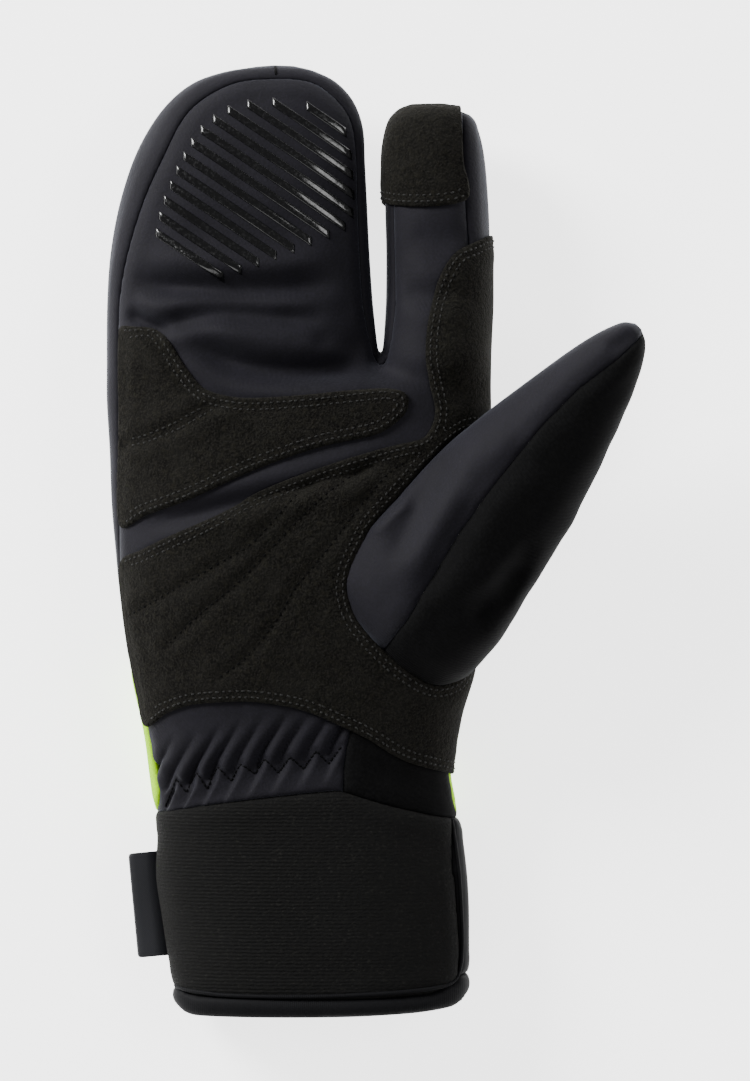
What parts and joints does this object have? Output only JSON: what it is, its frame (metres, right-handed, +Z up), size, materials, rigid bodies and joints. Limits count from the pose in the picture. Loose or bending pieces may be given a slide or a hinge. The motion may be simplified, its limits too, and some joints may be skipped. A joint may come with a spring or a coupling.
{
  "type": "lobster claw mitt",
  "caption": "Padded winter mitt for the right hand: one compartment for three fingers, one for the index finger, one for the thumb; suede palm, gathered wrist, knit cuff.",
  "frame": {"origin": "under the middle of the mitt's bounding box, on the ground it lies on", "axes": "+Y from the cuff's hem towards the fingertips, +X towards the thumb, +Z up out of the palm; the mitt lies on its back"},
  "size_m": [0.1606, 0.2844, 0.0535],
  "materials": {
    "softshell": "matt navy-black brushed knit with a fine diagonal weave",
    "black_softshell": "matt black brushed knit",
    "suede": "napped synthetic suede, black with an olive cast",
    "bright_softshell": "matt fluorescent yellow-green knit",
    "knit": "fine ribbed elastic knit",
    "binding": "smooth stretch binding, slightly satin",
    "grip_film": "glossy printed silicone",
    "woven_label": "blank woven tape"
  },
  "bodies": {
    "root": {"back_shell": "softshell", "back_wrist_panel": "bright_softshell", "cuff_side_binding": "binding", "cuff_sleeve": "knit", "fingertip_patch": "suede", "grip_stripe_01": "grip_film", "grip_stripe_02": "grip_film", "grip_stripe_03": "grip_film", "grip_stripe_04": "grip_film", "grip_stripe_05": "grip_film", "grip_stripe_06": "grip_film", "grip_stripe_07": "grip_film", "grip_stripe_08": "grip_film", "grip_stripe_09": "grip_film", "grip_stripe_10": "grip_film", "grip_stripe_11": "grip_film", "grip_stripe_12": "grip_film", "grip_stripe_13": "grip_film", "hem_binding": "binding", "index_finger_back": "softshell", "knuckle_patch": "suede", "label_tab": "woven_label", "palm_patch": "suede", "palm_shell": "softshell", "three_finger_back": "softshell", "three_finger_side": "softshell", "thumb_front_panel": "softshell", "thumb_side_panel": "black_softshell", "wrist_gather_panel": "softshell", "wrist_side_panel": "black_softshell"}
  },
  "joints": []
}
